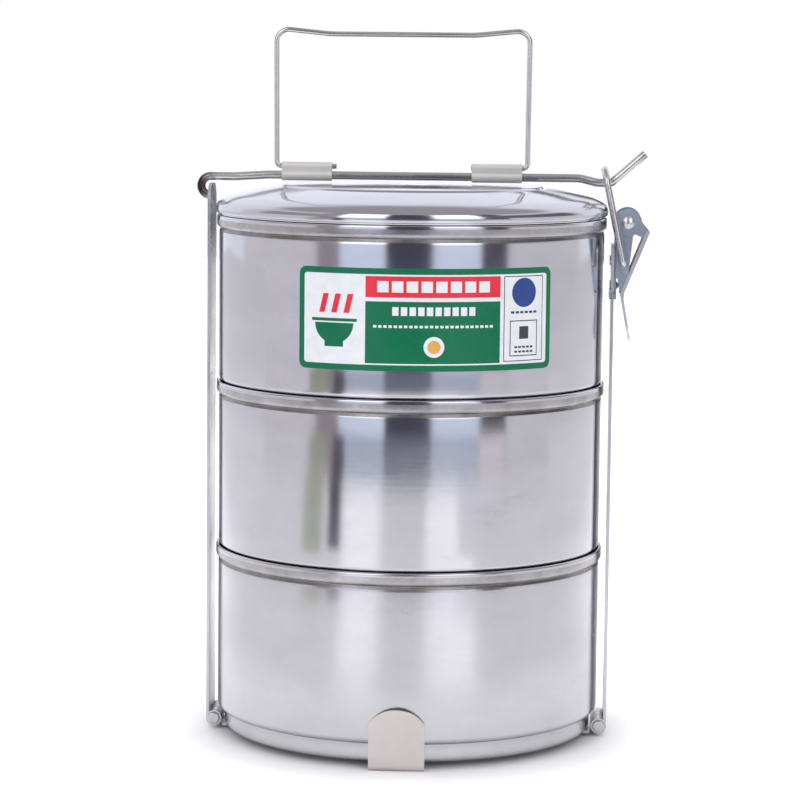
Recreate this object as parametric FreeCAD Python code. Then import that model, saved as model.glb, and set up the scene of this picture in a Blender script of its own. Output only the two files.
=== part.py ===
import FreeCAD, Part
import math
import os

# Three-tier stainless steel tiffin carrier, millimetres, +Z up.
# Origin: middle of the underside of the base straps, on the floor.

V = FreeCAD.Vector
UP = V(0, 0, 1)
SMALL = 0.02

# containers
BODY_R = 80.0
WALL = 0.6
FOOT_R = 77.0
FOOT_H = 7.4
FOOT_FILLET = 2.0
SHOULDER_R = 3.0
RIM_R = 81.0
RIM_H = 5.6
TIER_H = 77.0
NEST = 8.3
LID_GAP = 0.3

# base straps
STRAP_T = 1.2
STRAP_W = 22.4
CONTAINER_GAP = 0.1
CLIP_INSIDE = 80.7
CLIP_TOP = 25.0
CLIP_SHOULDER = 19.0
CLIP_BEND = 2.0
CLIP_LEAN = 1.2
RIVET_R = 2.3
RIVET_SPACING = 6.0

# side strips and their bottom hinges
STRIP_W = 22.0
STRIP_T = 1.2
HINGE_X = 81.0
HINGE_Z = 4.4
ROLL_R = 3.2
PIN_R = 1.9
RUNNING = 0.08
KNUCKLE_HALF = 3.7
KNUCKLE_GAP = 0.35
PIN_HEAD_R = 2.5
PIN_HEAD_T = 0.7
LEFT_TOP_Z = 229.3
RIGHT_TOP_Z = 206.0

# crossbar
BAR_R = 1.75
BAR_Z = 233.0
HOOK_X = -84.1
HOOK_Z = 228.1
HOOK_R = 4.0
HOOK_END = 278
HOLE_HALF_W = 2.3
HOLE_TOP = 226.9
HOLE_BOTTOM = 221.8
DIP_Z = 231.2
TIP_X = 96.4
TIP_Z = 243.4

# carrying handle
BAIL_R = 1.1
BAIL_X = -4.4
BAIL_HALF_W = 52.1
BAIL_TOP = 293.6
BAIL_DIP = 2.2
BAIL_INNER_L = -31.7
BAIL_INNER_R = 24.4
SLEEVE_T = 0.6
SLEEVE_LEN = 20.8
SLEEVE_L = -43.9
SLEEVE_R = 35.1
SLEEVE_SPREAD = 0.9
BAIL_AXIS_Z = BAR_Z + BAR_R + BAIL_R + SLEEVE_SPREAD

# latch on the right strip
LEVER_X = 89.6
LEVER_Z = 215.3
LINK_X = 88.0
LINK_Z = 198.0
LOOP_X = 79.7
LOOP_Z = 236.6
LINK_R = 1.35
LINK_HALF = 11.2
EAR_OUT = 6.4
EAR_T = 1.0
CHEEK_IN = 7.6
CHEEK_T = 1.0
PIVOT_R = 1.5
LOBE_R = 5.7
NECK_X = 88.4
NECK_Z = 211.5
NECK_R = 3.5
LOW_LOBE_X = 87.4
LOW_LOBE_Z = 194.0
LOW_LOBE_R = 2.7
PLATE_T = 1.0
PLATE_TOP_X = 98.6
PLATE_TOP_Z = 211.4
PLATE_LOW_X = 87.9
PLATE_LOW_Z = 184.6
FLANGE_T = 0.8
FLANGE_DEPTH = 1.5
TAIL_X = 91.6
TAIL_Z = 165.4
BAND_Z = 183.8

# label on the top tier
LABEL_T = 0.15
LABEL_Z0 = 159.6
LABEL_Z1 = 200.0
LABEL_A0 = -30.6
LABEL_A1 = 46.6

BOTTOM_Z = 2 * STRAP_T + CONTAINER_GAP
MIDDLE_Z = BOTTOM_Z + TIER_H - NEST
TOP_Z = MIDDLE_Z + TIER_H - NEST
LID_Z = TOP_Z + TIER_H + LID_GAP


def save(shape, name):
    shape.exportStep("parts/" + name + ".step")


def line(a, b):
    return Part.LineSegment(a, b).toShape()


def arc(a, m, b):
    return Part.Arc(a, m, b).toShape()


def spline(points):
    curve = Part.BSplineCurve()
    curve.interpolate(points)
    return curve.toShape()


def revolved(edges):
    face = Part.Face(Part.Wire(edges))
    return face.revolve(V(0, 0, 0), UP, 360)


def cylinder_y(x, z, radius, y0, y1):
    return Part.makeCylinder(radius, y1 - y0, V(x, y0, z), V(0, 1, 0))


def block(x0, x1, y0, y1, z0, z1):
    return Part.makeBox(x1 - x0, y1 - y0, z1 - z0, V(x0, y0, z0))


def plate_xz(points, y0, y1):
    corners = [V(x, y0, z) for x, z in points]
    face = Part.Face(Part.makePolygon(corners + [corners[0]]))
    return face.extrude(V(0, y1 - y0, 0))


def bend_edges(start, corner, following, bend):
    back = (start - corner).normalize()
    ahead = (following - corner).normalize()
    half = back.getAngle(ahead) / 2
    reach = bend / math.tan(half)
    middle = (back + ahead).normalize()
    centre = corner + middle * (bend / math.sin(half))
    enter = corner + back * reach
    leave = corner + ahead * reach
    return enter, centre - middle * bend, leave


def bent_rod(points, radius, bends):
    edges = []
    start = points[0]
    for i in range(1, len(points) - 1):
        enter, crown, leave = bend_edges(start, points[i], points[i + 1], bends[i - 1])
        edges.append(line(start, enter))
        edges.append(arc(enter, crown, leave))
        start = leave
    edges.append(line(start, points[-1]))
    direction = points[1] - points[0]
    profile = Part.Wire(Part.makeCircle(radius, points[0], direction))
    path = Part.Wire(edges)
    return path.makePipeShell([profile], True, False)


def arc_point(cx, cz, radius, degrees):
    a = math.radians(degrees)
    return V(cx + radius * math.cos(a), 0, cz + radius * math.sin(a))


def outer_wall(h):
    sx = BODY_R - SHOULDER_R
    sz = FOOT_H + SHOULDER_R
    fx = FOOT_R - FOOT_FILLET
    edges = [line(V(0, 0, 0), V(fx, 0, 0))]
    crown = arc_point(fx, FOOT_FILLET, FOOT_FILLET, -45)
    edges.append(arc(V(fx, 0, 0), crown, V(FOOT_R, 0, FOOT_FILLET)))
    edges.append(line(V(FOOT_R, 0, FOOT_FILLET), V(FOOT_R, 0, FOOT_H)))
    shoulder = arc_point(sx, sz, SHOULDER_R, -45)
    edges.append(arc(V(FOOT_R, 0, FOOT_H), shoulder, V(BODY_R, 0, sz)))
    groove = V(BODY_R - 0.3, 0, h - RIM_H)
    band = V(RIM_R, 0, h - RIM_H + 1.2)
    edges.append(line(V(BODY_R, 0, sz), V(BODY_R, 0, groove.z - 0.6)))
    edges.append(line(V(BODY_R, 0, groove.z - 0.6), groove))
    edges.append(line(groove, band))
    edges.append(line(band, V(RIM_R, 0, h - 0.8)))
    return edges


def inner_wall(h):
    r = BODY_R - WALL
    f = FOOT_R - WALL
    sz = FOOT_H + SHOULDER_R
    centre_x = BODY_R - SHOULDER_R
    s = SHOULDER_R - WALL
    fx = FOOT_R - FOOT_FILLET
    ff = FOOT_FILLET - WALL
    edges = [line(V(r, 0, h - 0.8), V(r, 0, sz))]
    shoulder = arc_point(centre_x, sz, s, -45)
    edges.append(arc(V(r, 0, sz), shoulder, V(centre_x, 0, sz - s)))
    edges.append(line(V(centre_x, 0, sz - s), V(f, 0, sz - s)))
    edges.append(line(V(f, 0, sz - s), V(f, 0, FOOT_FILLET)))
    crown = arc_point(fx, FOOT_FILLET, ff, -45)
    edges.append(arc(V(f, 0, FOOT_FILLET), crown, V(fx, 0, WALL)))
    edges.append(line(V(fx, 0, WALL), V(0, 0, WALL)))
    edges.append(line(V(0, 0, WALL), V(0, 0, 0)))
    return edges


def container(h, z):
    r = BODY_R - WALL
    middle = (RIM_R + r) / 2
    edges = outer_wall(h)
    edges.append(arc(V(RIM_R, 0, h - 0.8), V(middle, 0, h), V(r, 0, h - 0.8)))
    edges += inner_wall(h)
    solid = revolved(edges)
    solid.translate(V(0, 0, z))
    return solid


def lid():
    outside = [(79.8, 0.0), (81.2, 0.6), (81.6, 1.7), (81.5, 3.0), (80.8, 4.4), (79.5, 5.5)]
    outside += [(77.5, 6.6), (75.0, 7.6), (70.0, 8.75), (62.5, 10.3), (54.6, 11.6)]
    inside = [(78.2, 0.6), (80.4, 0.9), (80.95, 1.8), (80.9, 2.9), (80.3, 4.1), (79.1, 5.0)]
    inside += [(77.2, 6.0), (74.8, 7.0), (69.8, 8.15), (62.4, 9.7), (54.6, 11.0)]
    crown = [(53.2, 12.2), (40.0, 12.65), (20.0, 12.95), (0.0, 13.0)]
    under = [(53.2, 11.6), (40.0, 12.05), (20.0, 12.35), (0.0, 12.4)]
    plug_out = 78.8
    plug_in = 78.2
    plug_depth = -5.0
    out_points = [V(x, 0, z) for x, z in outside]
    in_points = [V(x, 0, z) for x, z in inside]
    crown_points = [V(x, 0, z) for x, z in crown]
    under_points = [V(x, 0, z) for x, z in under]
    edges = [spline(out_points)]
    edges.append(line(out_points[-1], crown_points[0]))
    edges.append(spline(crown_points))
    edges.append(line(crown_points[-1], under_points[-1]))
    edges.append(spline(under_points[::-1]))
    edges.append(line(under_points[0], in_points[-1]))
    edges.append(spline(in_points[::-1]))
    edges.append(line(in_points[0], V(plug_in, 0, plug_depth)))
    edges.append(line(V(plug_in, 0, plug_depth), V(plug_out, 0, plug_depth)))
    edges.append(line(V(plug_out, 0, plug_depth), V(plug_out, 0, 0)))
    edges.append(line(V(plug_out, 0, 0), out_points[0]))
    solid = revolved(edges)
    solid.translate(V(0, 0, LID_Z))
    return solid


def label():
    height = LABEL_Z1 - LABEL_Z0
    outer = Part.makeCylinder(BODY_R + LABEL_T, height, V(0, 0, LABEL_Z0))
    inner = Part.makeCylinder(BODY_R, height, V(0, 0, LABEL_Z0))
    ring = outer.cut(inner)
    far = 2 * BODY_R
    a0 = math.radians(LABEL_A0)
    a1 = math.radians(LABEL_A1)
    low = LABEL_Z0 - 1
    corners = [V(0, 0, low)]
    corners.append(V(far * math.sin(a0), -far * math.cos(a0), low))
    corners.append(V(far * math.sin(a1), -far * math.cos(a1), low))
    wedge = Part.Face(Part.makePolygon(corners + [corners[0]])).extrude(V(0, 0, height + 2))
    return ring.common(wedge)


def base_strap_long():
    half = STRAP_W / 2
    reach = HINGE_X - ROLL_R - 0.5
    strap = block(-reach, reach, -half, half, STRAP_T, 2 * STRAP_T)
    for side in (-1, 1):
        x = side * HINGE_X
        x0 = min(x, side * (reach - 1))
        x1 = max(x, side * (reach - 1))
        tongue = block(x0, x1, -KNUCKLE_HALF, KNUCKLE_HALF, STRAP_T, 2 * STRAP_T)
        roll = cylinder_y(x, HINGE_Z, ROLL_R, -KNUCKLE_HALF, KNUCKLE_HALF)
        strap = strap.fuse(tongue.fuse(roll))
    for side in (-1, 1):
        bore = cylinder_y(side * HINGE_X, HINGE_Z, PIN_R, -KNUCKLE_HALF - 1, KNUCKLE_HALF + 1)
        strap = strap.cut(bore)
    return strap.cut(rivet_shanks()).removeSplitter()


def rivet_shanks():
    h = 2 * STRAP_T
    s = RIVET_SPACING
    spots = [V(-s, -s, 0), V(s, s, 0)]
    shanks = [Part.makeCylinder(RIVET_R, h, p) for p in spots]
    return Part.makeCompound(shanks)


def clip_outline(y_side):
    half = STRAP_W / 2
    radius = (half * half + (CLIP_TOP - CLIP_SHOULDER) ** 2) / (2 * (CLIP_TOP - CLIP_SHOULDER))
    y = y_side * (CLIP_INSIDE - 5)
    p0 = V(-half, y, 0)
    p1 = V(-half, y, CLIP_SHOULDER)
    p2 = V(0, y, CLIP_TOP)
    p3 = V(half, y, CLIP_SHOULDER)
    p4 = V(half, y, 0)
    edges = [line(p0, p1), arc(p1, p2, p3), line(p3, p4), line(p4, p0)]
    return Part.Face(Part.Wire(edges)).extrude(V(0, y_side * 12, 0))


def clip_section(side):
    inner = side * CLIP_INSIDE
    outer = side * (CLIP_INSIDE + STRAP_T)
    lean = side * CLIP_LEAN
    b = CLIP_BEND
    s = math.sqrt(0.5)
    bend_y = side * (CLIP_INSIDE + STRAP_T - b)
    half = -STRAP_W / 2

    def at(y, z):
        return V(half, y, z)

    edges = [line(at(0, 0), at(bend_y, 0))]
    crown = at(bend_y + side * b * s, b - b * s)
    edges.append(arc(at(bend_y, 0), crown, at(outer, b)))
    edges.append(line(at(outer, b), at(outer, 14)))
    edges.append(line(at(outer, 14), at(outer + lean, CLIP_TOP)))
    edges.append(line(at(outer + lean, CLIP_TOP), at(inner + lean, CLIP_TOP)))
    edges.append(line(at(inner + lean, CLIP_TOP), at(inner, 14)))
    edges.append(line(at(inner, 14), at(inner, b)))
    r = b - STRAP_T
    crown = at(bend_y + side * r * s, b - r * s)
    edges.append(arc(at(inner, b), crown, at(bend_y, STRAP_T)))
    edges.append(line(at(bend_y, STRAP_T), at(0, STRAP_T)))
    edges.append(line(at(0, STRAP_T), at(0, 0)))
    return Part.Face(Part.Wire(edges)).extrude(V(STRAP_W, 0, 0))


def base_strap_cross():
    halves = []
    for side in (-1, 1):
        section = clip_section(side)
        half = STRAP_W / 2
        y0 = min(0, side * (CLIP_INSIDE - 5))
        y1 = max(0, side * (CLIP_INSIDE - 5))
        keep = block(-half, half, y0, y1, 0, STRAP_T)
        halves.append(section.common(clip_outline(side)).fuse(keep))
    strap = halves[0].fuse(halves[1])
    return strap.cut(rivet_shanks()).removeSplitter()


def hinge_pin(side):
    x = side * HINGE_X
    half = STRIP_W / 2
    pin = cylinder_y(x, HINGE_Z, PIN_R, -half - 0.3, half + 0.3)
    for end in (-1, 1):
        y0 = min(end * (half + 0.3), end * (half + 0.3 + PIN_HEAD_T))
        head = cylinder_y(x, HINGE_Z, PIN_HEAD_R, y0, y0 + PIN_HEAD_T)
        rims = [e for e in head.Edges if abs(abs(e.BoundBox.YMin) - half - 0.3 - PIN_HEAD_T) < SMALL]
        circles = [e for e in rims if e.BoundBox.YLength < SMALL]
        pin = pin.fuse(head.makeFillet(0.6, circles))
    return pin.removeSplitter()


def strip_blank(side, top, corner):
    half = STRIP_W / 2
    x0 = side * (HINGE_X + ROLL_R - STRIP_T)
    points = [V(x0, -half, HINGE_Z), V(x0, half, HINGE_Z), V(x0, half, top - corner)]
    a = corner * (1 - math.sqrt(0.5))
    edges = [line(points[0], points[1]), line(points[1], points[2])]
    edges.append(arc(points[2], V(x0, half - a, top - a), V(x0, half - corner, top)))
    edges.append(line(V(x0, half - corner, top), V(x0, corner - half, top)))
    edges.append(arc(V(x0, corner - half, top), V(x0, a - half, top - a), V(x0, -half, top - corner)))
    edges.append(line(V(x0, -half, top - corner), points[0]))
    return Part.Face(Part.Wire(edges)).extrude(V(side * STRIP_T, 0, 0))


def side_strip(side, top, corner):
    half = STRIP_W / 2
    x = side * HINGE_X
    strip = strip_blank(side, top, corner)
    strip = strip.fuse(cylinder_y(x, HINGE_Z, ROLL_R, -half, half))
    strip = strip.cut(cylinder_y(x, HINGE_Z, PIN_R + RUNNING, -half - 1, half + 1))
    gap = KNUCKLE_HALF + KNUCKLE_GAP
    reach = ROLL_R + 0.4
    notch = cylinder_y(x, HINGE_Z, reach, -gap, gap)
    return strip.cut(notch).removeSplitter()


def left_side_strip():
    strip = side_strip(-1, LEFT_TOP_Z, 7.0)
    w = HOLE_HALF_W
    x0 = -HINGE_X - ROLL_R - 1
    hole = block(x0, x0 + STRIP_T + 2, -w, w, HOLE_BOTTOM, HOLE_TOP)
    upright = [e for e in hole.Edges if e.BoundBox.YLength < SMALL and e.BoundBox.ZLength < SMALL]
    return strip.cut(hole.makeFillet(1.4, upright)).removeSplitter()


def rivet_spots():
    return [V(0, -2.8, 189.0), V(0, 2.8, 199.0)]


def right_side_strip():
    strip = side_strip(1, RIGHT_TOP_Z, 3.0)
    for p in rivet_spots():
        strip = strip.cut(Part.makeCylinder(1.2, 6, V(81.5, p.y, p.z), V(1, 0, 0)))
    return strip.removeSplitter()


def crossbar():
    top = arc_point(HOOK_X, HOOK_Z, HOOK_R, 90)
    left = arc_point(HOOK_X, HOOK_Z, HOOK_R, 180)
    low = arc_point(HOOK_X, HOOK_Z, HOOK_R, HOOK_END)
    mid_low = arc_point(HOOK_X, HOOK_Z, HOOK_R, 230)
    mid_top = arc_point(HOOK_X, HOOK_Z, HOOK_R, 135)
    edges = [arc(low, mid_low, left), arc(left, mid_top, top)]
    points = [top, V(-74, 0, top.z), V(-60, 0, BAR_Z), V(69.5, 0, BAR_Z), V(77, 0, DIP_Z)]
    points += [V(82.6, 0, DIP_Z), V(TIP_X, 0, TIP_Z)]
    bends = [25.0, 25.0, 14.0, 14.0, 4.0]
    start = points[0]
    for i in range(1, len(points) - 1):
        enter, crown, leave = bend_edges(start, points[i], points[i + 1], bends[i - 1])
        edges.append(line(start, enter))
        edges.append(arc(enter, crown, leave))
        start = leave
    edges.append(line(start, points[-1]))
    end = math.radians(HOOK_END)
    tangent = V(-math.sin(end), 0, math.cos(end))
    profile = Part.Wire(Part.makeCircle(BAR_R, low, tangent))
    return Part.Wire(edges).makePipeShell([profile], True, False)


def sleeve(centre_x):
    x0 = centre_x - SLEEVE_LEN / 2
    low = Part.makeCylinder(BAR_R + SLEEVE_T, SLEEVE_LEN, V(x0, 0, BAR_Z), V(1, 0, 0))
    high_r = BAIL_R + RUNNING + SLEEVE_T
    high = Part.makeCylinder(high_r, SLEEVE_LEN, V(x0, 0, BAIL_AXIS_Z), V(1, 0, 0))
    w = high_r
    web = block(x0, x0 + SLEEVE_LEN, -w, w, BAR_Z, BAIL_AXIS_Z)
    body = low.fuse(high).fuse(web)
    body = body.cut(Part.makeCylinder(BAR_R, SLEEVE_LEN + 2, V(x0 - 1, 0, BAR_Z), V(1, 0, 0)))
    bore = BAIL_R + RUNNING
    body = body.cut(Part.makeCylinder(bore, SLEEVE_LEN + 2, V(x0 - 1, 0, BAIL_AXIS_Z), V(1, 0, 0)))
    return body.removeSplitter()


def handle_bail():
    z = BAIL_AXIS_Z
    left = BAIL_X - BAIL_HALF_W
    right = BAIL_X + BAIL_HALF_W
    points = [V(BAIL_INNER_L, 0, z), V(left, 0, z), V(left - 0.4, 0, BAIL_TOP)]
    points += [V(left + 22, 0, BAIL_TOP - BAIL_DIP), V(right - 22, 0, BAIL_TOP - BAIL_DIP)]
    points += [V(right + 0.4, 0, BAIL_TOP), V(right, 0, z), V(BAIL_INNER_R, 0, z)]
    return bent_rod(points, BAIL_R, [2.0, 5.0, 40.0, 40.0, 5.0, 2.0])


def ear(y0, y1):
    foot = HINGE_X + ROLL_R
    outline = [(foot, 192.0), (foot, 213.0), (LEVER_X - 2.4, 218.2), (LEVER_X + 3.0, 213.2)]
    outline.append((foot + 2.0, 194.0))
    plate = plate_xz(outline, y0, y1)
    return plate.fuse(cylinder_y(LEVER_X, LEVER_Z, 3.7, y0, y1))


def latch_bracket():
    foot = HINGE_X + ROLL_R
    body = block(foot, foot + EAR_T, -EAR_OUT, EAR_OUT, BAND_Z + 2.5, 213.0)
    body = body.fuse(ear(-EAR_OUT, EAR_T - EAR_OUT))
    body = body.fuse(ear(EAR_OUT - EAR_T, EAR_OUT))
    body = body.cut(cylinder_y(LEVER_X, LEVER_Z, PIVOT_R, -EAR_OUT - 1, EAR_OUT + 1))
    for p in rivet_spots():
        body = body.cut(Part.makeCylinder(1.2, 6, V(foot - 2, p.y, p.z), V(1, 0, 0)))
    return body.removeSplitter()


def bracket_rivets():
    inner = HINGE_X + ROLL_R - STRIP_T
    outer = HINGE_X + ROLL_R + EAR_T
    rivets = []
    for p in rivet_spots():
        shank = Part.makeCylinder(1.2, outer - inner, V(inner, p.y, p.z), V(1, 0, 0))
        tail = Part.makeCylinder(2.1, 0.6, V(inner - 0.6, p.y, p.z), V(1, 0, 0))
        dome = Part.makeSphere(2.2, V(outer - 1.3, p.y, p.z))
        head = dome.common(block(outer, outer + 2, p.y - 3, p.y + 3, p.z - 3, p.z + 3))
        rivets.append(shank.fuse(tail).fuse(head).removeSplitter())
    return Part.makeCompound(rivets)


def lever_pivot_rivet():
    reach = CHEEK_IN + CHEEK_T + 0.1
    pin = cylinder_y(LEVER_X, LEVER_Z, PIVOT_R, -reach, reach)
    for end in (-1, 1):
        dome = Part.makeSphere(4.6, V(LEVER_X, end * (reach - 3.8), LEVER_Z))
        y0 = min(end * reach, end * (reach + 1))
        head = dome.common(block(LEVER_X - 4, LEVER_X + 4, y0, y0 + 1, LEVER_Z - 4, LEVER_Z + 4))
        pin = pin.fuse(head)
    return pin.removeSplitter()


def tapered_arm(x0, z0, r0, x1, z1, r1, y0, y1):
    length = math.hypot(x1 - x0, z1 - z0)
    heading = math.atan2(z1 - z0, x1 - x0)
    turn = math.acos((r0 - r1) / length)
    outline = []
    for x, z, r, a in ((x0, z0, r0, heading + turn), (x1, z1, r1, heading + turn),
                       (x1, z1, r1, heading - turn), (x0, z0, r0, heading - turn)):
        outline.append((x + r * math.cos(a), z + r * math.sin(a)))
    arm = plate_xz(outline, y0, y1)
    return arm.fuse(cylinder_y(x0, z0, r0, y0, y1)).fuse(cylinder_y(x1, z1, r1, y0, y1))


def cheek(y0, y1):
    lobe = cylinder_y(LEVER_X, LEVER_Z, LOBE_R, y0, y1)
    arm = tapered_arm(NECK_X, NECK_Z, NECK_R, LOW_LOBE_X, LOW_LOBE_Z, LOW_LOBE_R, y0, y1)
    wing = plate_xz([(91.5, 220.0), (PLATE_TOP_X, PLATE_TOP_Z), (97.2, 208.4), (90.8, 211.4)], y0, y1)
    tongue = plate_xz([(86.0, 191.8), (89.4, 192.6), (PLATE_LOW_X + 1.0, 186.4), (86.4, 187.2)], y0, y1)
    return arm.fuse(lobe).fuse(wing).fuse(tongue)


def plate_direction():
    run = V(PLATE_TOP_X - PLATE_LOW_X, 0, PLATE_TOP_Z - PLATE_LOW_Z).normalize()
    inward = V(-run.z, 0, run.x)
    return run, inward


def plate_bar(depth, y0, y1):
    run, inward = plate_direction()
    low = V(PLATE_LOW_X, 0, PLATE_LOW_Z)
    high = V(PLATE_TOP_X, 0, PLATE_TOP_Z)
    corners = [low, high, high + inward * depth, low + inward * depth]
    return plate_xz([(c.x, c.z) for c in corners], y0, y1)


def lever_tail():
    t = PLATE_T
    x = PLATE_LOW_X
    z = PLATE_LOW_Z
    outline = [(x + 0.6, z + 1.4), (x - 0.9, z + 1.6), (x - 0.6, z - 1.6), (TAIL_X - t, TAIL_Z)]
    outline += [(TAIL_X, TAIL_Z + 0.2), (x + 0.5, z - 1.4)]
    half = 6.6
    tail = plate_xz(outline, -half, half)
    rounding = Part.makeCylinder(half, 14, V(83, 0, TAIL_Z + half), V(1, 0, 0))
    upper = block(83, 97, -half, half, TAIL_Z + half, z + 3)
    return tail.common(rounding.fuse(upper))


def lever_plate():
    out = CHEEK_IN + CHEEK_T
    web = plate_bar(PLATE_T, -out - FLANGE_T, out + FLANGE_T)
    left = plate_bar(FLANGE_DEPTH, -out - FLANGE_T, -out)
    right = plate_bar(FLANGE_DEPTH, out, out + FLANGE_T)
    return web.fuse(left).fuse(right).fuse(lever_tail()).removeSplitter()


def lever_cheeks():
    out = CHEEK_IN + CHEEK_T
    sides = []
    for y0, y1 in ((-out, -CHEEK_IN), (CHEEK_IN, out)):
        side = cheek(y0, y1)
        side = side.cut(cylinder_y(LEVER_X, LEVER_Z, PIVOT_R + RUNNING, -out - 1, out + 1))
        side = side.cut(cylinder_y(LINK_X, LINK_Z, LINK_R + RUNNING, -out - 1, out + 1))
        side = side.cut(plate_bar(PLATE_T, -out - 1, out + 1))
        outside = plate_bar(-20, -out - 1, out + 1)
        sides.append(side.cut(outside).removeSplitter())
    return Part.makeCompound(sides)


def bracket_band():
    inner = HINGE_X + ROLL_R - STRIP_T
    outer = HINGE_X + ROLL_R + EAR_T
    half = STRIP_W / 2
    band = block(inner - 0.7, outer, -half - 0.7, half + 0.7, BAND_Z, BAND_Z + 2.4)
    return band.cut(block(inner, outer - EAR_T, -half, half, BAND_Z - 1, BAND_Z + 4))


def latch_link():
    y = LINK_HALF
    foot = CHEEK_IN - 0.4
    points = [V(LINK_X, -foot, LINK_Z), V(LINK_X, -y, LINK_Z), V(LOOP_X, -y, LOOP_Z)]
    points += [V(LOOP_X, y, LOOP_Z), V(LINK_X, y, LINK_Z), V(LINK_X, foot, LINK_Z)]
    return bent_rod(points, LINK_R, [1.45, 6.0, 6.0, 1.45])


def main():
    os.makedirs("parts", exist_ok=True)
    save(lid(), "lid")
    save(container(TIER_H, TOP_Z), "top_container")
    save(container(TIER_H, MIDDLE_Z), "middle_container")
    save(container(TIER_H, BOTTOM_Z), "bottom_container")
    save(label(), "label")
    save(base_strap_long(), "base_strap_long")
    save(base_strap_cross(), "base_strap_cross")
    save(rivet_shanks(), "base_rivets")
    save(hinge_pin(-1), "left_hinge_pin")
    save(hinge_pin(1), "right_hinge_pin")
    save(left_side_strip(), "left_side_strip")
    save(right_side_strip(), "right_side_strip")
    save(crossbar(), "crossbar")
    save(sleeve(SLEEVE_L), "left_handle_sleeve")
    save(sleeve(SLEEVE_R), "right_handle_sleeve")
    save(handle_bail(), "handle_bail")
    save(latch_bracket(), "latch_bracket")
    save(bracket_rivets(), "bracket_rivets")
    save(lever_pivot_rivet(), "lever_pivot_rivet")
    save(bracket_band(), "bracket_band")
    save(lever_cheeks(), "lever_cheeks")
    save(lever_plate(), "lever_plate")
    save(latch_link(), "latch_link")


main()
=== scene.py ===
import math

import bpy
from mathutils import Matrix, Vector


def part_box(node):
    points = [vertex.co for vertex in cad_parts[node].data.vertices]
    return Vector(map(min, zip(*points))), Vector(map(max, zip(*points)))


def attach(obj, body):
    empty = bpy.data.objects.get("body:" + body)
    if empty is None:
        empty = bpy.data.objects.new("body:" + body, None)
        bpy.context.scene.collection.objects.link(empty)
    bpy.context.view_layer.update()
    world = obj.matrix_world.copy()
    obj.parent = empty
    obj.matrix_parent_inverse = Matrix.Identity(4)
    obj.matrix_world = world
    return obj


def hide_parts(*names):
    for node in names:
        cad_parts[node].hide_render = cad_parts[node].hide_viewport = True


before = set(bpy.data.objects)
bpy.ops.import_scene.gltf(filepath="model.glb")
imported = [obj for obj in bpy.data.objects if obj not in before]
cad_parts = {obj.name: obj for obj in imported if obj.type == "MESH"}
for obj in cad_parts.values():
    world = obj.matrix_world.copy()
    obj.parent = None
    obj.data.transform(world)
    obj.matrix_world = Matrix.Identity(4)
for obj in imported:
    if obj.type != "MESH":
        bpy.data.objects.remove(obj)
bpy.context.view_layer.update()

MM = 0.001
SEGMENTS = 360

# camera: degrees, metres, and the lens in millimetres
CAMERA_AZIMUTH = 3.0
CAMERA_DISTANCE = 1.244
CAMERA_SIDE = -0.0042
CAMERA_HEIGHT = 0.2802
CAMERA_PITCH = 6.46
CAMERA_ROLL = 0.59
CAMERA_LENS = 134.4
CAMERA_SENSOR = 36.0
CAMERA_NEAR = 0.05

# container section, in metres
BODY_R = 80.0 * MM
WALL = 0.6 * MM
FOOT_R = 77.0 * MM
FOOT_H = 7.4 * MM
FOOT_FILLET = 2.0 * MM
SHOULDER_R = 3.0 * MM
RIM_R = 80.95 * MM
RIM_H = 5.6 * MM
RIM_CURL = 0.8 * MM
GROOVE_DEPTH = 0.45 * MM

# lid section: height of the rim line over the plug's lower edge, sheet, and the plug ring in millimetres
LID_PLUG_H = 5.0 * MM
LID_SHEET = 0.6
LID_SIDE_SHEET = 0.5
LID_SIDE_FROM_R = 70
LID_PLUG = ((78.2, 0.5), (78.2, -4.9), (78.5, -5.0), (78.8, -4.9), (78.8, -0.1), (79.8, 0.0))

# painted shade on the crossbar's ends: where it begins and is full, in metres along X, and its colours
PAINTED_SHADE_ENDS = (
    (-81.0 * MM, -88.0 * MM, (0.05, 0.035, 0.03)),
    (93.0 * MM, 99.0 * MM, (0.20, 0.18, 0.16)),
)

# label: from and to in degrees round the stack, its lift off the steel, and one layer of print
LABEL_FROM = -30.6
LABEL_TO = 46.6
LABEL_OFF = 0.02 * MM
LABEL_LIFT = 0.03 * MM
LABEL_CELL = 0.8 * MM
CORNER_STEPS = 6
DISC_STEPS = 40
DISC_RINGS = 6

# the floor's outline, in metres
FLOOR_FRONT_R = 0.9
FLOOR_SIDE = 3.0
FLOOR_BACK = 3.0
FLOOR_STEPS = 48

# light given off by parts of the floor, so that it stays white round the stack
FLOOR_GLOW = 0.06
RING_GLOW = 0.26
POOL_GLOW = 0.42
BACK_GLOW = 0.38
GLOW_TINT = (1.0, 0.99, 0.95, 1.0)

# sectors of the floor that the tiers mirror: degrees round the stack, then metres from its axis,
# each as from, to and softness
NEAR_POOL = ((9, 35, 3.0), (0.24, 0.50, 0.05))
FAR_POOL = ((9, 27, 2.0), (0.50, 2.0, 0.05))
LEFT_POOL = ((-37, -16, 3.0), (0.24, 2.0, 0.05))
DARK_LINE = ((-46, -39, 1.5), (0.56, 1.2, 0.06))
CLOTH = ((-62, -50, 2.0), (0.50, 1.2, 0.04))

# ramps over the floor in metres, as from, to and the values there
BEHIND_RAMP = (0.06, 0.28, 0.0, 1.0)
ASIDE_RAMP = (0.22, 0.55, 1.0, 0.0)
ASIDE_WIDENING = 0.13
# painted light round the stack: the ring's glow starts just outside the foot and fills the floor's shadow,
# and the outside ramp keeps all glow off under the foot; the contact shadow left there is real, cut narrow
# by this painted light
RING_RISE = (0.079, 0.102, 0.0, 1.0)
RING_FALL = (0.20, 0.27, 1.0, 0.25)
OUTSIDE_RAMP = (0.078, 0.084, 0.0, 1.0)

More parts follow.
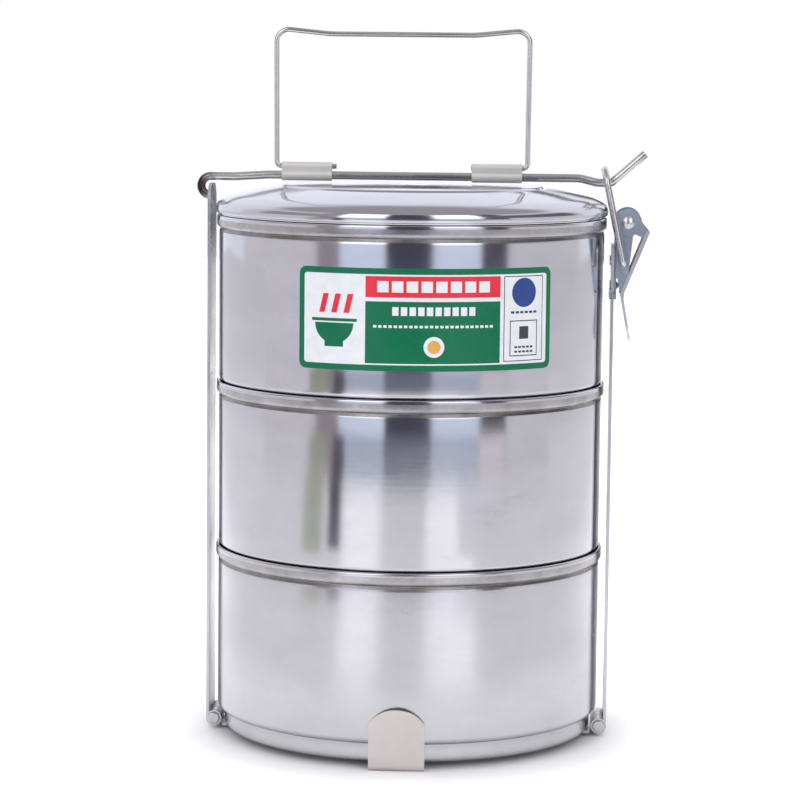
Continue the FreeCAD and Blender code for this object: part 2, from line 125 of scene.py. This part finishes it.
# the studio surround: bands in degrees from the camera's direction, as from, to and softness
TURNS = {
    "right_wall": (56, 118, 4),
    "left_wall": (-118, -56, 4),
    "front_wall": (-60, 60, 3),
    "right_box": (12, 41.5, 1.5),
    "left_box": (-43, -15, 1.5),
    "right_gap": (41.5, 58, 1.0),
    "left_gap": (-57, -43, 1.5),
    "dark_line": (-46, -39, 1.5),
    "cloth": (-62, -50, 2.0),
    "centre": (-15, 12, 1.5),
    "right_screen": (46, 112, 4),
    "left_screen": (-100, -46, 4),
    "right_flag": (152, 176, 1.0),
    "left_flag": (-172, -158, 1.0),
}

# and bands in degrees above the horizon
HEIGHTS = {
    "high": (4, 200, 3),
    "deep": (-200, -5.4, 1.2),
    "gap_deep": (-200, -4.9, 1.2),
    "cloth_deep": (-200, -5.6, 0.5),
    "raised": (5, 32, 3),
    "low": (-200, 7, 2),
    "overhead": (46, 200, 5),
}

# layers of the surround, the later over the earlier: where they lie, and their brightness
ROOM = (1.08, 1.10, 1.22)
LAYERS = (
    (("right_wall",), (0.86, 0.85, 0.90)),
    (("left_wall",), (0.88, 0.86, 0.92)),
    (("front_wall",), (0.80, 0.78, 0.82)),
    (("right_box",), (0.96, 1.04, 1.25)),
    (("right_box", "deep"), (0.58, 0.64, 0.78)),
    (("right_box", "high"), (2.3, 2.3, 2.35)),
    (("left_box",), (0.96, 1.04, 1.25)),
    (("left_box", "deep"), (0.58, 0.64, 0.78)),
    (("left_box", "high"), (2.3, 2.3, 2.35)),
    (("right_gap",), (0.10, 0.095, 0.13)),
    (("right_gap", "gap_deep"), (0.92, 0.87, 0.90)),
    (("left_gap",), (0.42, 0.37, 0.41)),
    (("dark_line", "deep"), (0.12, 0.11, 0.14)),
    (("cloth", "cloth_deep"), (0.46, 0.49, 0.38)),
    (("centre",), (0.09, 0.09, 0.125)),
    (("centre", "deep"), (0.22, 0.24, 0.31)),
    (("right_screen", "raised"), (0.20, 0.19, 0.21)),
    (("left_screen", "raised"), (0.45, 0.44, 0.47)),
    (("right_flag", "low"), (0.01, 0.01, 0.012)),
    (("left_flag", "low"), (0.12, 0.12, 0.15)),
    (("overhead",), (0.50, 0.48, 0.51)),
)

# the lamp over the stack: place in metres, side in metres, power in watts
LAMP_PLACE = (0, 0.2, 1.9)
LAMP_SIDE = 2.0
LAMP_POWER = 17


# ---------------------------------------------------------------- node helpers

class Tree:
    """Short calls for building a node tree."""

    def __init__(self, owner):
        owner.use_nodes = True
        self.tree = owner.node_tree
        self.coords = self.add("ShaderNodeTexCoord")

    def add(self, kind, **settings):
        node = self.tree.nodes.new(kind)
        for key, value in settings.items():
            setattr(node, key, value)
        return node

    def link(self, output, socket):
        self.tree.links.new(output, socket)

    def math(self, operation, a, b=0.0):
        node = self.add("ShaderNodeMath", operation=operation)
        for value, socket in ((a, node.inputs[0]), (b, node.inputs[1])):
            if isinstance(value, (int, float)):
                socket.default_value = value
            else:
                self.link(value, socket)
        return node.outputs["Value"]

    def remap(self, value, low, high, to_low, to_high, kind="LINEAR"):
        node = self.add("ShaderNodeMapRange", interpolation_type=kind)
        node.inputs["From Min"].default_value = low
        node.inputs["From Max"].default_value = high
        node.inputs["To Min"].default_value = to_low
        node.inputs["To Max"].default_value = to_high
        self.link(value, node.inputs["Value"])
        return node.outputs["Result"]

    def band(self, value, start, end, soft, kind="LINEAR"):
        """1 between start and end, with soft edges."""
        rise = self.remap(value, start - soft, start + soft, 0.0, 1.0, kind)
        fall = self.remap(value, end - soft, end + soft, 1.0, 0.0, kind)
        return self.math("MULTIPLY", rise, fall)

    def mix(self, factor, a, b):
        node = self.add("ShaderNodeMix", data_type="RGBA")
        self.link(factor, node.inputs["Factor"])
        for value, socket in ((a, node.inputs[6]), (b, node.inputs[7])):
            if isinstance(value, tuple):
                socket.default_value = (*value, 1.0)
            else:
                self.link(value, socket)
        return node.outputs[2]

    def split(self, vector):
        parts = self.add("ShaderNodeSeparateXYZ")
        self.link(vector, parts.inputs["Vector"])
        return parts.outputs["X"], parts.outputs["Y"], parts.outputs["Z"]

    def turn_from_camera(self, x, y):
        """Degrees round the stack's axis from the camera's direction, to the right."""
        turn = self.math("ARCTAN2", x, self.math("MULTIPLY", y, -1.0))
        return self.math("SUBTRACT", self.math("MULTIPLY", turn, 180 / math.pi), CAMERA_AZIMUTH)

    def axis_distance(self, x, y):
        squares = self.math("ADD", self.math("MULTIPLY", x, x), self.math("MULTIPLY", y, y))
        return self.math("SQRT", squares)


class Nodes(Tree):
    """A material's node tree."""

    def __init__(self, name):
        self.material = bpy.data.materials.new(name)
        super().__init__(self.material)
        self.shader = self.tree.nodes["Principled BSDF"]

    def noise(self, scale, detail=4.0, stretch=(1, 1, 1), source=None, roughness=0.5):
        mapping = self.add("ShaderNodeMapping")
        mapping.inputs["Scale"].default_value = stretch
        self.link(source or self.coords.outputs["Object"], mapping.inputs["Vector"])
        node = self.add("ShaderNodeTexNoise")
        node.inputs["Scale"].default_value = scale
        node.inputs["Detail"].default_value = detail
        node.inputs["Roughness"].default_value = roughness
        self.link(mapping.outputs["Vector"], node.inputs["Vector"])
        return node.outputs["Fac"]

    def bump(self, height, distance, strength=1.0, below=None):
        node = self.add("ShaderNodeBump")
        node.inputs["Strength"].default_value = strength
        node.inputs["Distance"].default_value = distance
        self.link(height, node.inputs["Height"])
        if below:
            self.link(below, node.inputs["Normal"])
        return node.outputs["Normal"]

    def cylinder_coords(self):
        """Angle round the stack's axis, radius and height, as a vector in metres of arc."""
        x, y, z = self.split(self.coords.outputs["Object"])
        joined = self.add("ShaderNodeCombineXYZ")
        angle = self.math("ARCTAN2", y, x)
        self.link(self.math("MULTIPLY", angle, BODY_R), joined.inputs["X"])
        self.link(self.axis_distance(x, y), joined.inputs["Y"])
        self.link(z, joined.inputs["Z"])
        return joined.outputs["Vector"]


def steel_nodes(name, color, rough, spread, grain, grain_height,
                anisotropy=0.0, turned=False, dark=0.90, metal=1.0):
    """Stainless steel: grain lines, smudges that change the gloss, scratches, and a slow waviness."""
    n = Nodes(name)
    source = n.cylinder_coords() if turned else n.coords.outputs["Object"]
    fine = n.noise(900.0, 5.0, grain, source, 0.6)
    wide = n.noise(28.0, 3.0, (1, 1, 1), source)
    marks = n.noise(160.0, 6.0, tuple(0.25 * g + 0.2 for g in grain), source, 0.7)
    smudge = n.remap(wide, 0.35, 0.7, rough, rough + spread)
    scratch = n.remap(marks, 0.62, 0.72, 0.0, 0.10)
    n.link(n.math("ADD", smudge, scratch), n.shader.inputs["Roughness"])
    darker = tuple(dark * c for c in color)
    tone = n.mix(n.remap(marks, 0.3, 0.7, 0.0, 1.0), color, darker)
    n.link(tone, n.shader.inputs["Base Color"])
    n.shader.inputs["Metallic"].default_value = metal
    n.shader.inputs["Anisotropic"].default_value = anisotropy
    waves = n.bump(wide, 60e-6 if turned else 30e-6)
    n.link(n.bump(fine, grain_height, 1.0, waves), n.shader.inputs["Normal"])
    if turned:
        tangent = n.add("ShaderNodeTangent", direction_type="RADIAL", axis="Z")
        n.link(tangent.outputs["Tangent"], n.shader.inputs["Tangent"])
    return n


def steel(name, color, rough, spread, grain, grain_height, **settings):
    return steel_nodes(name, color, rough, spread, grain, grain_height, **settings).material


def paint_shade_on_ends(n):
    """Paints shade into the colour of the crossbar's hooked end, and of its free tip a little."""
    socket = n.shader.inputs["Base Color"]
    tone = socket.links[0].from_socket
    along = n.split(n.coords.outputs["Object"])[0]
    for shade_start, full, shade in PAINTED_SHADE_ENDS:
        tone = n.mix(n.remap(along, shade_start, full, 0.0, 1.0), tone, shade)
    n.link(tone, socket)
    return n.material


def print_colour(name, color):
    """Glossy printed film with faint unevenness and handling marks."""
    n = Nodes(name)
    uneven = n.noise(220.0, 3.0)
    wear = n.noise(60.0, 5.0)
    darker = tuple(0.94 * c for c in color)
    n.link(n.mix(n.remap(uneven, 0.35, 0.65, 0.0, 1.0), color, darker), n.shader.inputs["Base Color"])
    n.link(n.remap(wear, 0.3, 0.7, 0.22, 0.42), n.shader.inputs["Roughness"])
    n.link(n.bump(uneven, 10e-6), n.shader.inputs["Normal"])
    n.shader.inputs["Specular IOR Level"].default_value = 0.3
    return n.material


def floor_masks(n):
    """Masks: pools of light, a dark line, a cloth, behind the stack, a ring of painted light round it that
    narrows its shadow, outside its foot.
    """
    x, y, _ = n.split(n.coords.outputs["Object"])
    degrees = n.turn_from_camera(x, y)
    radius = n.axis_distance(x, y)

    def sector(limits):
        return n.math("MULTIPLY", n.band(degrees, *limits[0]), n.band(radius, *limits[1]))

    pools = n.math("ADD", sector(LEFT_POOL), n.math("ADD", sector(NEAR_POOL), sector(FAR_POOL)))
    aside = n.math("SUBTRACT", n.math("ABSOLUTE", x), n.math("MULTIPLY", y, ASIDE_WIDENING))
    behind = n.math("MULTIPLY", n.remap(y, *BEHIND_RAMP), n.remap(aside, *ASIDE_RAMP))
    ring = n.math("MULTIPLY", n.remap(radius, *RING_RISE), n.remap(radius, *RING_FALL))
    return pools, sector(DARK_LINE), sector(CLOTH), behind, ring, n.remap(radius, *OUTSIDE_RAMP)


def plain_floor():
    n = Nodes("floor")
    grain = n.noise(40.0, 3.0)
    pools, line, cloth, behind, ring, outside = floor_masks(n)
    plain = n.mix(grain, (0.90, 0.90, 0.91), (0.88, 0.88, 0.89))
    marked = n.mix(cloth, plain, (0.60, 0.64, 0.50))
    n.link(n.mix(line, marked, (0.06, 0.06, 0.08)), n.shader.inputs["Base Color"])
    n.link(n.remap(grain, 0.3, 0.7, 0.55, 0.7), n.shader.inputs["Roughness"])
    n.shader.inputs["Specular IOR Level"].default_value = 0.2
    n.shader.inputs["Emission Color"].default_value = GLOW_TINT
    glow = n.math("MULTIPLY", outside, FLOOR_GLOW)
    for mask, strength in ((pools, POOL_GLOW), (ring, RING_GLOW), (behind, BACK_GLOW)):
        glow = n.math("ADD", glow, n.math("MULTIPLY", mask, strength))
    unmarked = n.math("MULTIPLY", n.math("SUBTRACT", 1.0, line), n.math("SUBTRACT", 1.0, cloth))
    n.link(n.math("MULTIPLY", glow, unmarked), n.shader.inputs["Emission Strength"])
    return n.material


# ---------------------------------------------------------------- mesh helpers

def mesh_object(name, points, faces, materials, slots=None):
    mesh = bpy.data.meshes.new(name)
    mesh.from_pydata(points, [], faces)
    for material in materials:
        mesh.materials.append(material)
    for polygon in mesh.polygons:
        polygon.use_smooth = True
        if slots:
            polygon.material_index = slots[polygon.index]
    mesh.update()
    obj = bpy.data.objects.new(name, mesh)
    bpy.context.scene.collection.objects.link(obj)
    return obj


def arc(cx, cz, radius, start, end, steps):
    """Points of an arc in the section plane, start and end in degrees."""
    points = []
    for i in range(steps + 1):
        a = math.radians(start + (end - start) * i / steps)
        points.append((cx + radius * math.cos(a), cz + radius * math.sin(a)))
    return points


def smooth_curve(knots, per_span):
    """Catmull-Rom through the knots of a section."""
    ends = [knots[0]] + list(knots) + [knots[-1]]
    points = []
    for i in range(1, len(ends) - 2):
        p0, p1, p2, p3 = (Vector(ends[i + k]) for k in (-1, 0, 1, 2))
        for s in range(per_span):
            t = s / per_span
            q = (2 * p1 + (p2 - p0) * t + (2 * p0 - 5 * p1 + 4 * p2 - p3) * t * t
                 + (3 * p1 - p0 - 3 * p2 + p3) * t ** 3) * 0.5
            points.append(tuple(q))
    points.append(tuple(knots[-1]))
    return points


def lathe(name, section, z0, materials):
    """Turns a section, a list of (radius, height), round the stack's axis."""
    points = []
    faces = []
    count = len(section)
    for i in range(SEGMENTS):
        a = 2 * math.pi * i / SEGMENTS
        for r, z in section:
            points.append((r * math.cos(a), r * math.sin(a), z0 + z))
    for i in range(SEGMENTS):
        j = (i + 1) % SEGMENTS
        for k in range(count - 1):
            faces.append((i * count + k, j * count + k, j * count + k + 1, i * count + k + 1))
    obj = mesh_object(name, points, faces, materials)
    weld = obj.modifiers.new("weld", "WELD")
    weld.merge_threshold = 1e-6
    obj.data.set_sharp_from_angle(angle=math.radians(40))
    return obj


# ---------------------------------------------------------------- containers and lid

def container_section(h):
    """Closed section of a pressed container: foot, shoulder, straight wall and rolled rim."""
    sx = BODY_R - SHOULDER_R
    sz = FOOT_H + SHOULDER_R
    fx = FOOT_R - FOOT_FILLET
    inside = BODY_R - WALL
    groove_z = h - RIM_H
    section = [(0.0, 0.0), (fx * 0.5, 0.0)]
    section += arc(fx, FOOT_FILLET, FOOT_FILLET, -90, 0, 8)
    section += [(FOOT_R, FOOT_H * 0.6), (FOOT_R, FOOT_H - 0.3 * MM)]
    section += arc(sx, sz, SHOULDER_R, -88, 0, 10)
    section += [(BODY_R, h * f) for f in (0.25, 0.5, 0.75)]
    groove = [
        (BODY_R, groove_z - 2.2 * MM),
        (BODY_R - 0.12 * MM, groove_z - 1.0 * MM),
        (BODY_R - GROOVE_DEPTH, groove_z),
        (BODY_R + 0.1 * MM, groove_z + 0.5 * MM),
        (RIM_R - 0.15 * MM, groove_z + 1.3 * MM),
        (RIM_R, groove_z + 2.2 * MM),
    ]
    section += smooth_curve(groove, 4)
    section += [(RIM_R, h - 1.7 * MM)]
    middle = (RIM_R + inside) / 2
    width = (RIM_R - inside) / 2
    for i in range(13):
        a = math.pi * i / 12
        section.append((middle + width * math.cos(a), h - RIM_CURL + RIM_CURL * math.sin(a)))
    section += [(inside, h * 0.5), (inside, sz)]
    section += arc(sx, sz, SHOULDER_R - WALL, 0, -90, 6)
    section += [(FOOT_R - WALL, sz - SHOULDER_R + WALL - 0.2 * MM)]
    section += arc(fx, FOOT_FILLET, FOOT_FILLET - WALL, 0, -90, 6)
    section += [(fx * 0.5, WALL), (0.0, WALL)]
    return section


def container_slot(r, z, h):
    """0 for the polished body, 1 for the rolled rim and 2 for the groove under it, whose darker steel is
    painted shade.
    """
    groove_z = h - RIM_H
    if groove_z + 0.4 * MM < z < h - 1.6 * MM and r > BODY_R + 0.1 * MM:
        return 1
    if groove_z - 1.3 * MM < z < groove_z + 0.4 * MM and r > BODY_R - 0.5 * MM:
        return 2
    return 0


def build_container(node, material, rim, groove, body):
    low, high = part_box(node)
    h = high[2] - low[2]
    obj = lathe(node + "_skin", container_section(h), low[2], [material, rim, groove])
    for polygon in obj.data.polygons:
        r = math.hypot(polygon.center.x, polygon.center.y)
        polygon.material_index = container_slot(r, polygon.center.z - low[2], h)
    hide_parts(node)
    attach(obj, body)


def lid_section():
    """Closed section of the domed lid, heights from the rim line."""
    outside = [(79.8, 0.0), (81.0, 0.5), (81.4, 1.4), (81.4, 2.9), (80.9, 4.2), (79.9, 5.2), (78.2, 6.2)]
    outside += [(75.0, 7.5), (70.0, 8.7), (62.5, 10.25), (55.2, 11.45)]
    crease = [(54.8, 11.35), (54.4, 11.4), (53.9, 11.85), (53.2, 12.15)]
    crown = [(53.2, 12.15), (47.0, 12.4), (40.0, 12.6), (20.0, 12.9), (0.0, 12.98)]
    section = smooth_curve([(r * MM, z * MM) for r, z in outside], 5)
    section += smooth_curve([(r * MM, z * MM) for r, z in crease], 3)[:-1]
    section += smooth_curve([(r * MM, z * MM) for r, z in crown], 4)
    under = []
    for r, z in reversed(outside[1:] + crown):
        under.append((r - LID_SIDE_SHEET if r > LID_SIDE_FROM_R else r, z - LID_SHEET))
    section += [(r * MM, z * MM) for r, z in under]
    section += [(r * MM, z * MM) for r, z in LID_PLUG]
    return section


def build_lid(material):
    low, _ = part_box("lid")
    obj = lathe("lid_skin", lid_section(), low[2] + LID_PLUG_H, [material])
    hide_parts("lid")
    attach(obj, "lid")


# ---------------------------------------------------------------- label

class Label:
    """Colour blocks on a film that is bent round the top container."""

    def __init__(self):
        low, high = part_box("label")
        self.z0 = low[2]
        self.height = high[2] - low[2]
        self.width = math.radians(LABEL_TO - LABEL_FROM) * BODY_R
        self.points = []
        self.faces = []
        self.slots = []

    def place(self, u, v, layer):
        """u from the left edge and v from the bottom edge, in metres."""
        a = math.radians(LABEL_FROM) + u / BODY_R
        r = BODY_R + LABEL_OFF + layer * LABEL_LIFT
        return (r * math.sin(a), -r * math.cos(a), self.z0 + v)

    def patch(self, u0, v0, u1, v1, layer, slot, skew=0.0, corner=0.0):
        """A block; skew leans its sides, in metres over its height; corner is its corners' radius."""
        across = max(2, int((u1 - u0) / LABEL_CELL))
        rows = [(v0, corner), (v1, corner)]
        for k in range(1, CORNER_STEPS + 1 if corner else 0):
            a = math.radians(90 * k / CORNER_STEPS)
            rise = corner * (1 - math.cos(a))
            inset = corner * (1 - math.sin(a))
            rows += [(v0 + rise, inset), (v1 - rise, inset)]
        rows.sort()
        first = len(self.points)
        for v, inset in rows:
            shift = skew * (v - v0) / (v1 - v0)
            for i in range(across + 1):
                u = u0 + inset + (u1 - u0 - 2 * inset) * i / across + shift
                self.points.append(self.place(u, v, layer))
        for j in range(len(rows) - 1):
            for i in range(across):
                a = first + j * (across + 1) + i
                self.faces.append((a, a + 1, a + across + 2, a + across + 1))
                self.slots.append(slot)

    def dashes(self, u0, u1, v, height, count, gap, layer, slot):
        """A row of plain blocks in place of a line of words."""
        step = (u1 - u0 + gap) / count
        for k in range(count):
            u = u0 + k * step
            self.patch(u, v - height / 2, u + step - gap, v + height / 2, layer, slot)

    def disc(self, u, v, radius, layer, slot, start=0.0, end=360.0):
        """A disc, or the part of one from start to end in degrees."""
        first = len(self.points)
        for k in range(DISC_RINGS + 1):
            r = radius * k / DISC_RINGS
            for i in range(DISC_STEPS + 1):
                a = math.radians(start + (end - start) * i / DISC_STEPS)
                self.points.append(self.place(u + r * math.cos(a), v + r * math.sin(a), layer))
        for k in range(DISC_RINGS):
            for i in range(DISC_STEPS):
                a = first + k * (DISC_STEPS + 1) + i
                self.faces.append((a, a + DISC_STEPS + 1, a + DISC_STEPS + 2, a + 1))
                self.slots.append(slot)


GREEN, WHITE, RED, BLUE, BLACK, GOLD = range(6)


def draw_label(label):
    """A generic layout: frame, two white panels, a red bar and plain shapes, with no words."""
    w = label.width
    h = label.height
    border = 2.4 * MM
    left = 28.6 * MM
    right = 83.0 * MM
    middle = (left + right) / 2
    seal_v = 9.6 * MM
    label.patch(0, 0, w, h, 0, GREEN, 0, 3.0 * MM)
    label.patch(border, border, w - border, h - border, 1, WHITE, 0, 1.2 * MM)
    label.patch(left, 29.0 * MM, right, 37.3 * MM, 2, RED)
    label.patch(left, 3.0 * MM, right, 27.4 * MM, 2, GREEN)
    # half width, height above the lower edge, block height, count and gap of each row of blocks
    rows = ((22.5, 33.2, 4.4, 8, 1.3), (16.5, 23.6, 3.4, 10, 0.9), (24.0, 17.6, 1.0, 24, 0.7))
    for half, v, height, count, gap in rows:
        label.dashes(middle - half * MM, middle + half * MM, v * MM, height * MM, count, gap * MM, 3, WHITE)
    label.disc(middle, seal_v, 4.1 * MM, 3, WHITE)
    label.disc(middle, seal_v, 2.6 * MM, 4, GOLD)
    draw_bowl(label, 15.6 * MM, 18.5 * MM)
    draw_side_panel(label, 94.0 * MM)


def draw_bowl(label, cx, cy):
    """A plain steaming bowl on the left panel."""
    foot = 4.0 * MM
    brim = 9.6 * MM
    steam = 1.2 * MM
    label.disc(cx, cy, 8.2 * MM, 2, GREEN, 180, 360)
    label.patch(cx - foot, cy - 9.4 * MM, cx + foot, cy - 7.2 * MM, 2, GREEN)
    label.patch(cx - brim, cy + 0.6 * MM, cx + brim, cy + 1.8 * MM, 2, GREEN)
    for k in (-1, 0, 1):
        u = cx + k * 5.2 * MM
        label.patch(u - steam, cy + 4.0 * MM, u + steam, cy + 11.5 * MM, 2, RED, 1.8 * MM)


def draw_side_panel(label, px):
    """Two plain devices on the right panel: a disc, and a small block in a square frame."""
    half = 9.4 * MM
    line = 0.35 * MM
    low = 3.4 * MM
    high = 37.2 * MM
    frame_low = 5.4 * MM
    frame_high = 19.6 * MM
    label.patch(px - half, low, px + half, high, 2, BLACK)
    label.patch(px - half + line, low + line, px + half - line, high - line, 3, WHITE)
    label.disc(px, 30.6 * MM, 5.8 * MM, 4, BLUE)
    label.dashes(px - 6.2 * MM, px + 6.2 * MM, 22.8 * MM, 0.9 * MM, 6, 0.6 * MM, 4, BLACK)
    for v0, v1 in ((frame_low, 5.8 * MM), (19.2 * MM, frame_high)):
        label.patch(px - 6.6 * MM, v0, px + 6.6 * MM, v1, 4, BLACK)
    for side in (-1, 1):
        edge = px + side * 6.4 * MM
        label.patch(edge - 0.2 * MM, frame_low, edge + 0.2 * MM, frame_high, 4, BLACK)
    label.patch(px - 2.2 * MM, 12.2 * MM, px + 2.2 * MM, 17.2 * MM, 4, BLACK)
    for v in (7.2, 9.0):
        label.dashes(px - 4.4 * MM, px + 4.4 * MM, v * MM, 0.8 * MM, 5, 0.5 * MM, 4, BLACK)


def build_label():
    colours = {
        "label_green": (0.002, 0.165, 0.072),
        "label_white": (0.84, 0.86, 0.88),
        "label_red": (0.80, 0.036, 0.060),
        "label_blue": (0.03, 0.07, 0.28),
        "label_black": (0.05, 0.06, 0.08),
        "label_gold": (0.75, 0.42, 0.10),
    }
    label = Label()
    draw_label(label)
    materials = [print_colour(name, colour) for name, colour in colours.items()]
    obj = mesh_object("label_print", label.points, label.faces, materials, label.slots)
    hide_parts("label")
    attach(obj, "top_tier")


# ---------------------------------------------------------------- frame pieces

def paint_cad(node, material):
    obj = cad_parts[node]
    obj.data.materials.clear()
    obj.data.materials.append(material)


def paint_frame(materials):
    groups = {
        "strap": ("base_strap_long", "base_strap_cross"),
        "strip": ("left_side_strip", "right_side_strip"),
        "wire": ("handle_bail", "latch_link"),
        "crossbar": ("crossbar",),
        "sleeve": ("left_handle_sleeve", "right_handle_sleeve"),
        "rivet": ("base_rivets", "left_hinge_pin", "right_hinge_pin", "bracket_rivets", "lever_pivot_rivet"),
        "zinc": ("latch_bracket", "lever_cheeks", "bracket_band"),
        "plate": ("lever_plate",),
    }
    for key, nodes in groups.items():
        for node in nodes:
            paint_cad(node, materials[key])


# ---------------------------------------------------------------- stage

def build_surround():
    """White room with grey sides, two bright softboxes in front, and dark flags between and behind."""
    world = bpy.data.worlds.new("studio")
    bpy.context.scene.world = world
    w = Tree(world)
    x, y, z = w.split(w.coords.outputs["Generated"])
    degrees = w.turn_from_camera(x, y)
    height = w.math("MULTIPLY", w.math("ARCSINE", z), 180 / math.pi)
    masks = {name: w.band(degrees, *limits, "SMOOTHSTEP") for name, limits in TURNS.items()}
    masks.update({name: w.band(height, *limits, "SMOOTHSTEP") for name, limits in HEIGHTS.items()})
    color = ROOM
    for names, shade in LAYERS:
        factor = masks[names[0]]
        for name in names[1:]:
            factor = w.math("MULTIPLY", factor, masks[name])
        color = w.mix(factor, color, shade)
    path = w.add("ShaderNodeLightPath")
    color = w.mix(path.outputs["Is Camera Ray"], color, (1.0, 1.0, 1.0))
    background = w.tree.nodes["Background"]
    w.link(color, background.inputs["Color"])
    background.inputs["Strength"].default_value = 1.0


def build_floor():
    """A sheet with a round front edge, whose reflection is level all along the tiers."""
    points = [(x, y, 0.0) for x, y in arc(0, 0, FLOOR_FRONT_R, 180, 360, FLOOR_STEPS)]
    points += [(FLOOR_SIDE, 0, 0), (FLOOR_SIDE, FLOOR_BACK, 0)]
    points += [(-FLOOR_SIDE, FLOOR_BACK, 0), (-FLOOR_SIDE, 0, 0)]
    floor = mesh_object("floor", points, [tuple(range(len(points)))], [plain_floor()])


def build_lamp():
    """A soft lamp over the stack, aimed at its foot and left out of reflections."""
    data = bpy.data.lights.new("top_softbox", "AREA")
    data.shape = "RECTANGLE"
    data.size = LAMP_SIDE
    data.size_y = LAMP_SIDE
    data.energy = LAMP_POWER
    lamp = bpy.data.objects.new("top_softbox", data)
    bpy.context.scene.collection.objects.link(lamp)
    lamp.location = LAMP_PLACE
    lamp.rotation_euler = (-Vector(LAMP_PLACE)).to_track_quat("-Z", "Y").to_euler()
    lamp.visible_glossy = False


def build_camera():
    a = math.radians(CAMERA_AZIMUTH)
    right = Vector((math.cos(a), math.sin(a), 0))
    ahead = Vector((-math.sin(a), math.cos(a), 0))
    place = right * CAMERA_SIDE - ahead * CAMERA_DISTANCE
    place.z = CAMERA_HEIGHT
    data = bpy.data.cameras.new("camera")
    data.lens = CAMERA_LENS
    data.sensor_width = CAMERA_SENSOR
    data.clip_start = CAMERA_NEAR
    camera = bpy.data.objects.new("camera", data)
    bpy.context.scene.collection.objects.link(camera)
    turn = Matrix.Rotation(a, 4, "Z") @ Matrix.Rotation(math.radians(90 - CAMERA_PITCH), 4, "X")
    turn = turn @ Matrix.Rotation(math.radians(CAMERA_ROLL), 4, "Z")
    camera.matrix_world = Matrix.Translation(place) @ turn
    bpy.context.scene.camera = camera


def container_steels():
    around = (0.02, 1.0, 1.0)
    even = (1.0, 1.0, 1.0)
    polished = steel("polished_steel", (0.575, 0.57, 0.60), 0.09, 0.05, around, 2.5e-6,
                     anisotropy=0.4, turned=True)
    satin = steel("satin_steel", (0.565, 0.56, 0.585), 0.15, 0.08, around, 3e-6,
                  anisotropy=0.5, turned=True)
    rolled = steel("rolled_rim", (0.50, 0.48, 0.49), 0.22, 0.12, even, 20e-6, turned=True, dark=0.62)
    # the groove's darker steel is painted shade in the recess under the rim
    groove = steel("rim_groove_painted_shade", (0.33, 0.315, 0.32), 0.26, 0.15, even, 20e-6, turned=True, dark=0.45)
    return polished, satin, rolled, groove


def frame_steels():
    even = (1.0, 1.0, 1.0)
    drawn = (0.05, 1.0, 1.0)
    sheet = (0.05, 1.0, 0.3)
    upright = (1.0, 1.0, 0.03)
    crossbar = steel_nodes("crossbar_steel", (0.66, 0.645, 0.63), 0.20, 0.10, drawn, 2e-6, dark=0.84)
    return {
        "strap": steel("strap_steel", (0.64, 0.595, 0.575), 0.32, 0.12, sheet, 3e-6, metal=0.9),
        "strip": steel("strip_steel", (0.66, 0.66, 0.69), 0.26, 0.12, upright, 4e-6, dark=0.80, metal=0.85),
        "wire": steel("wire_steel", (0.68, 0.665, 0.65), 0.20, 0.10, drawn, 2e-6, dark=0.84),
        # the crossbar's ends get painted shade in their colour
        "crossbar": paint_shade_on_ends(crossbar),
        "sleeve": steel("sleeve_steel", (0.80, 0.775, 0.75), 0.34, 0.12, sheet, 4e-6, metal=0.5),
        "rivet": steel("rivet_steel", (0.62, 0.62, 0.64), 0.22, 0.12, even, 3e-6),
        "zinc": steel("zinc_plate", (0.52, 0.60, 0.69), 0.22, 0.14, (1.0, 1.0, 0.2), 4e-6, metal=0.9),
        "plate": steel("lever_steel", (0.64, 0.65, 0.68), 0.28, 0.12, (1.0, 1.0, 0.1), 4e-6,
                       dark=0.82, metal=0.8),
    }


def main():
    polished, satin, rolled, groove = container_steels()
    build_container("top_container", polished, rolled, groove, "top_tier")
    build_container("middle_container", polished, rolled, groove, "middle_tier")
    build_container("bottom_container", satin, rolled, groove, "bottom_tier")
    build_lid(polished)
    build_label()
    paint_frame(frame_steels())
    build_surround()
    build_floor()
    build_lamp()
    build_camera()
    bpy.context.scene.view_settings.view_transform = "Standard"


main()
